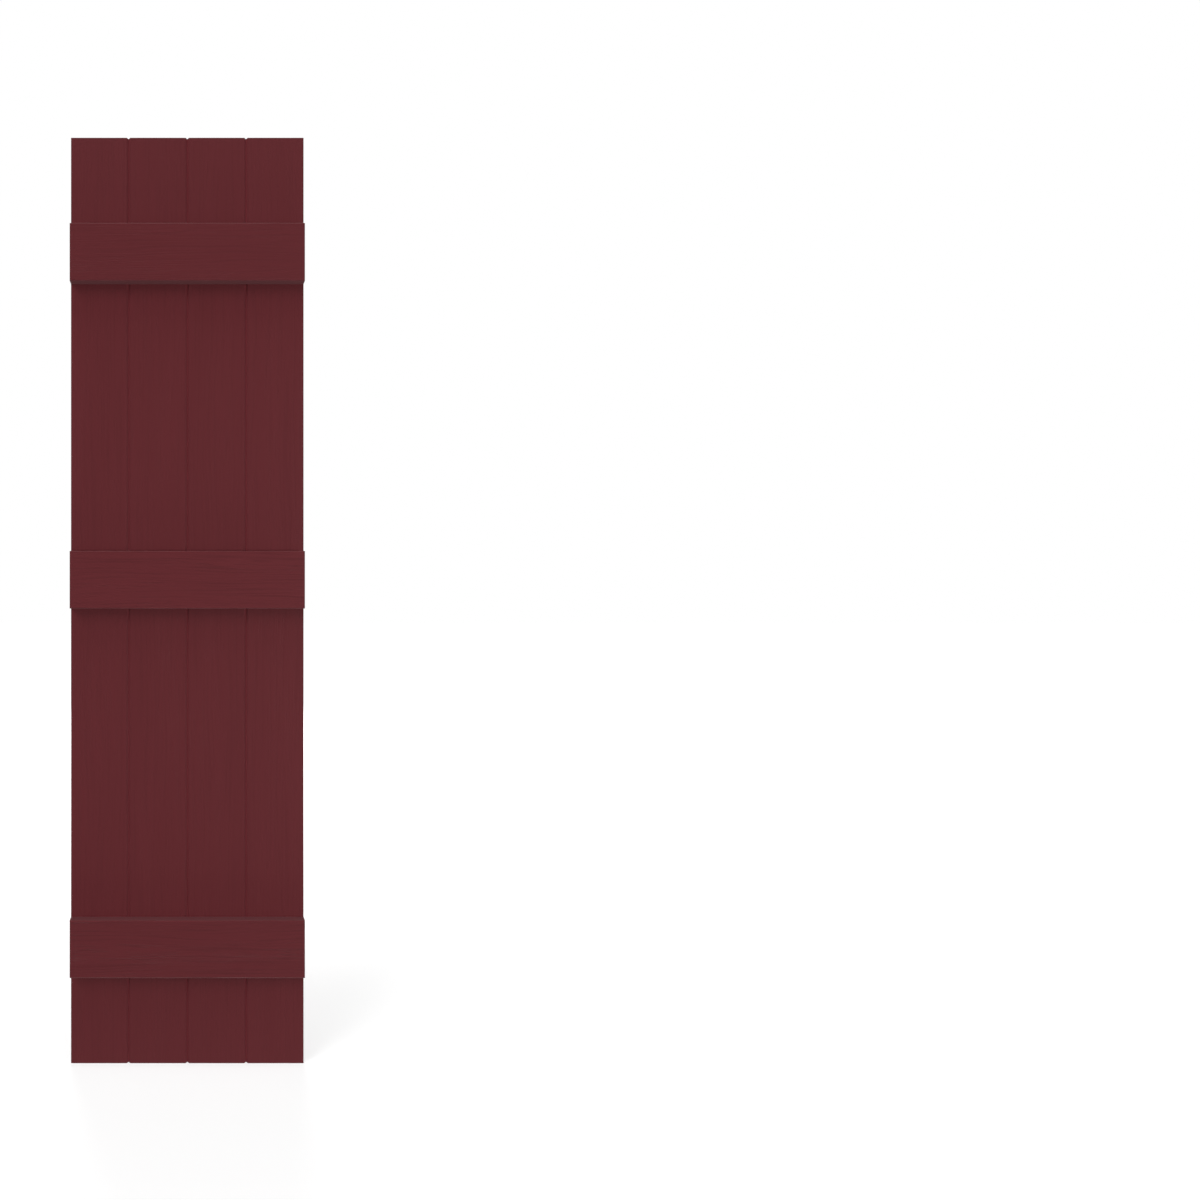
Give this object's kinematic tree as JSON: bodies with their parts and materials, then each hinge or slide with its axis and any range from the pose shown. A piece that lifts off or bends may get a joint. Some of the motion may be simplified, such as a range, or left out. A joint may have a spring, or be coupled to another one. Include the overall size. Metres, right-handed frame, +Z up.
{
  "type": "board and batten shutter",
  "caption": "Tall fixed window shutter: hollow vinyl boards lapped edge to edge with V grooves, under raised hollow cross battens, with a flat back that lies against the wall.",
  "frame": {"origin": "on the flat back of the boards, at the middle of the shutter's width and height, where it lies against the wall", "axes": "+Z up along the boards, +Y out of the back into the wall, -Y out of the front, +X to the right as seen from the front"},
  "size_m": [0.3512, 0.0285, 1.397],
  "materials": {
    "board_vinyl": "burgundy vinyl, coloured through, with an embossed upright wood grain",
    "batten_vinyl": "burgundy vinyl, coloured through, with an embossed wood grain along the batten",
    "screw_steel": "zinc plated steel"
  },
  "bodies": {
    "root": {"left_outer_board": "board_vinyl", "left_inner_board": "board_vinyl", "right_inner_board": "board_vinyl", "right_outer_board": "board_vinyl", "top_batten": "batten_vinyl", "middle_batten": "batten_vinyl", "bottom_batten": "batten_vinyl"}
  },
  "joints": []
}
